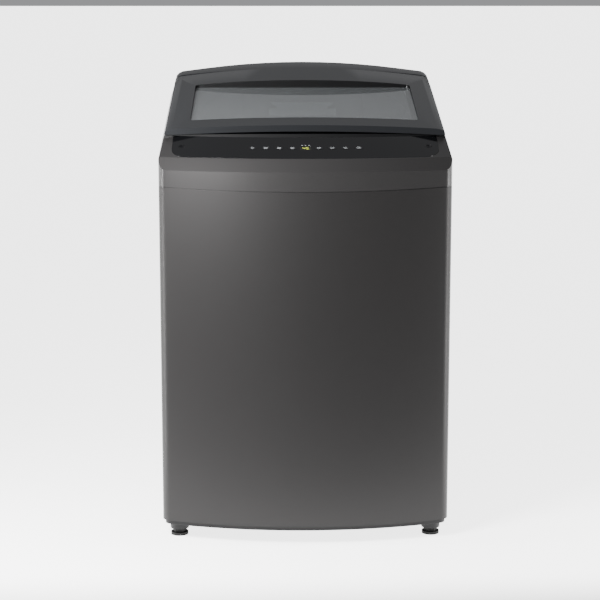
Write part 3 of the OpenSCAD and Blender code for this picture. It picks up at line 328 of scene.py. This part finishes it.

# ---------- top cover ----------
# The moulded ABS top, sprayed with the same graphite flake paint as the cabinet. The hand recess under the lid's
# lip and the loading throat take a near black as painted shade.

# Same flake as the steel, a little glossier; the near black inside is painted shade on grained ABS.
flake_abs = surface("graphite metallic ABS", "#2e2d2d", (60, 0.02), (0.5, 0.006), 0.03,
                    Roughness=0.3, Metallic=0.4, Specular_IOR_Level=0.35)
painted_shade_abs = surface("black ABS as painted shade", "#050506", (40, 0.05), (0.6, 0.02), 0.03, Roughness=0.4,
                     Specular_IOR_Level=0.25)
panel_rear_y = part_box("control_panel")[1].y
shoulder_w = 16 * MM
recess_half_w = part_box("top_cover")[1].x - shoulder_w
# Faces inside the shoulders behind the control panel take the near black as painted shade for the hand recess
# and the throat.
refined("top_cover", "graphite_plastic", flake_abs, painted_shade_abs, edge=0.5,
        second=lambda p: abs(p.x) < recess_half_w and p.y > panel_rear_y - 0.5 * MM)

# ---------- control panel, keys and display ----------
# A gloss black acrylic overlay with eight soft keys. The legends are printed in pale grey:
# a power mark, a start mark and plain strokes; the display shows two lit digits.

# Acrylic is near black with a mirror-like skin; the ink is matt, and the lit strokes glow.
gloss_acrylic = surface("gloss black acrylic", "#040405", (40, 0.05), (4.0, 0.003), 0.01, Roughness=0.1,
                        Specular_IOR_Level=0.35)
key_acrylic = surface("gloss black key acrylic", "#060607", (20, 0.05), (3.0, 0.003), 0.01, Roughness=0.14)
pale_ink = surface("pale grey ink", "#a9acae", (3, 0.05), (0.2, 0.004), 0.05, Roughness=0.5)
smoked_lens = surface("smoked display lens", "#10120a", (12, 0.05), (2.0, 0.003), 0.01, Roughness=0.12)
lit_segments = surface("lit display segments", "#c6d24a", (2, 0.08), (0.3, 0.002), 0.03, Roughness=0.4)
segment_shader = lit_segments.node_tree.nodes["Principled BSDF"]
segment_shader.inputs["Emission Color"].default_value = srgb("#c6d24a")
segment_shader.inputs["Emission Strength"].default_value = 0.5
refined("control_panel", "gloss_black", gloss_acrylic, edge=0.3)
keys = [n for n in frame["nodes"] if n.endswith("_key")]
finish_nodes(gloss_acrylic, "panel_plugs")
finish_nodes(key_acrylic, *keys)
finish_nodes(smoked_lens, "display_window")

ink_h = 0.06
line_w = 0.5


def face_matrix(node, normal):
    """Places prints: the middle of a node's outermost flat face, X across, Y up the slope, Z outward."""
    across = Vector((-normal.y, normal.x, 0)).normalized()
    up = normal.cross(across).normalized()
    piece = frame["nodes"][node]
    points = [piece.matrix_world @ v.co for v in piece.data.vertices]
    top = max(p.dot(normal) for p in points)
    face = [p for p in points if top - p.dot(normal) < 0.05 * MM]
    middle = [(min(p.dot(d) for p in face) + max(p.dot(d) for p in face)) / 2 for d in (across, up)]
    place = across * middle[0] + up * middle[1] + normal * top
    return Matrix.Translation(place) @ Matrix((across, up, normal)).transposed().to_4x4()


def stroke(bm, matrix, points, width, closed=False):
    """One printed line of even width through points in mm, as a thin closed solid."""
    count = len(points)
    rings = []
    for k, (x, y) in enumerate(points):
        before = points[k - 1] if k or closed else points[k]
        after = points[(k + 1) % count] if k < count - 1 or closed else points[k]
        along = Vector((after[0] - before[0], after[1] - before[1])).normalized()
        side = Vector((-along.y, along.x)) * width / 2
        rings.append([bm.verts.new(matrix @ (Vector((x + s * side.x, y + s * side.y, z)) * MM))
                      for s, z in ((1, 0), (-1, 0), (-1, ink_h), (1, ink_h))])
    for k in range(count if closed else count - 1):
        a, b = rings[k], rings[(k + 1) % count]
        for i in range(4):
            bm.faces.new((a[i], b[i], b[(i + 1) % 4], a[(i + 1) % 4]))
    if not closed:
        bm.faces.new(rings[0])
        bm.faces.new(rings[-1])


def printed(name, bm, body, material):
    bmesh.ops.recalc_face_normals(bm, faces=bm.faces)
    piece = new_object(name, bm, material)
    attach(piece, body)


def ring_points(radius, start, end, steps):
    turns = [math.radians(start + (end - start) * k / steps) for k in range(steps + 1)]
    return [(radius * math.sin(t), radius * math.cos(t)) for t in turns]


press = {j["child"]: -Vector(j["axis"]) for j in frame["joints"] if j["child"].endswith("_key")}
for key in keys:
    place = face_matrix(key, press[key].normalized())
    bm = bmesh.new()
    if key == "power_key":
        stroke(bm, place, ring_points(2.6, 35, 325, 28), line_w)
        stroke(bm, place, [(0, 0.6), (0, 3.3)], line_w)
    elif key == "start_key":
        stroke(bm, place, ring_points(3.9, 0, 360, 36)[:-1], 0.45, closed=True)
        stroke(bm, place, [(-1.7, 1.3), (-1.7, -1.3), (0.3, 0)], line_w, closed=True)
        for x in (1.0, 2.1):
            stroke(bm, place, [(x, 1.4), (x, -1.4)], line_w)
    else:
        for y, reach in ((2.4, 4.2), (0, 3.2), (-2.4, 3.8)):
            stroke(bm, place, [(-reach, y), (reach, y)], line_w)
    printed(key + ".legend", bm, key, pale_ink)

# The display shows 45, each digit seven strokes, with three indicator strokes above the window.
segments = {"a": ((0, 2), (1, 2)), "b": ((1, 2), (1, 1)), "c": ((1, 1), (1, 0)), "d": ((0, 0), (1, 0)),
            "e": ((0, 1), (0, 0)), "f": ((0, 2), (0, 1)), "g": ((0, 1), (1, 1))}
panel_normal = sum(press.values(), Vector()).normalized()
place = face_matrix("display_window", panel_normal)
digit_w, digit_h = 4.4, 4.0
stroke_w, stroke_gap = 0.8, 0.5
bm = bmesh.new()
for left, lit in ((-5.6, "bcfg"), (1.2, "acdfg")):
    for name in lit:
        (x0, y0), (x1, y1) = segments[name]
        a = Vector((left + x0 * digit_w, (y0 - 1) * digit_h))
        b = Vector((left + x1 * digit_w, (y1 - 1) * digit_h))
        trim = (b - a).normalized() * stroke_gap
        stroke(bm, place, [tuple(a + trim), tuple(b - trim)], stroke_w)
printed("display.digits", bm, "cabinet", lit_segments)
window_set_back = 0.2
place = place @ Matrix.Translation((0, 0, window_set_back * MM))
bm = bmesh.new()
mark_y, mark_half_w, mark_h = 11.5, 1.6, 1.1
for x in (-7, 0, 7):
    stroke(bm, place, [(x - mark_half_w, mark_y), (x + mark_half_w, mark_y)], mark_h)
printed("panel.indicators", bm, "cabinet", pale_ink)

# ---------- rear housing and lid ----------
# The charcoal ABS rear housing covers the valve and the drawer; the arched lid frame turns on
# two steel pins and holds a toughened glass pane in a rubber gasket.

# Polished charcoal ABS: smooth, with a faint orange-peel relief.
charcoal_abs = surface("charcoal ABS", "#17181a", (40, 0.03), (0.5, 0.006), 0.02, Roughness=0.2,
                       Specular_IOR_Level=0.4)
refined("rear_housing", "charcoal_plastic", charcoal_abs, edge=0.5)
low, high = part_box("lid_glass")
# The frame faces around the glass take the near black as painted shade for the shadowed recess walls and the
# crescent behind the pane.
refined("lid_frame", "charcoal_plastic", charcoal_abs, painted_shade_abs, edge=0.5,
        second=lambda p: abs(p.x) < high.x + MM and low.y - MM < p.y < high.y + MM)
# Grey body tint with the faint waviness of drawn glass and a thin film in the gloss. The fifth of the pane left
# opaque shows its pale grey as painted light for the bright inside seen through the glass.
glass_with_painted_light = surface("grey toughened glass with painted light", "#a9adaf", (90, 0.02), (30, 0.01), 0.02, (1, 0.2, 1),
                     Roughness=0.04, Transmission_Weight=0.8, IOR=1.5)
finish_nodes(glass_with_painted_light, "lid_glass")
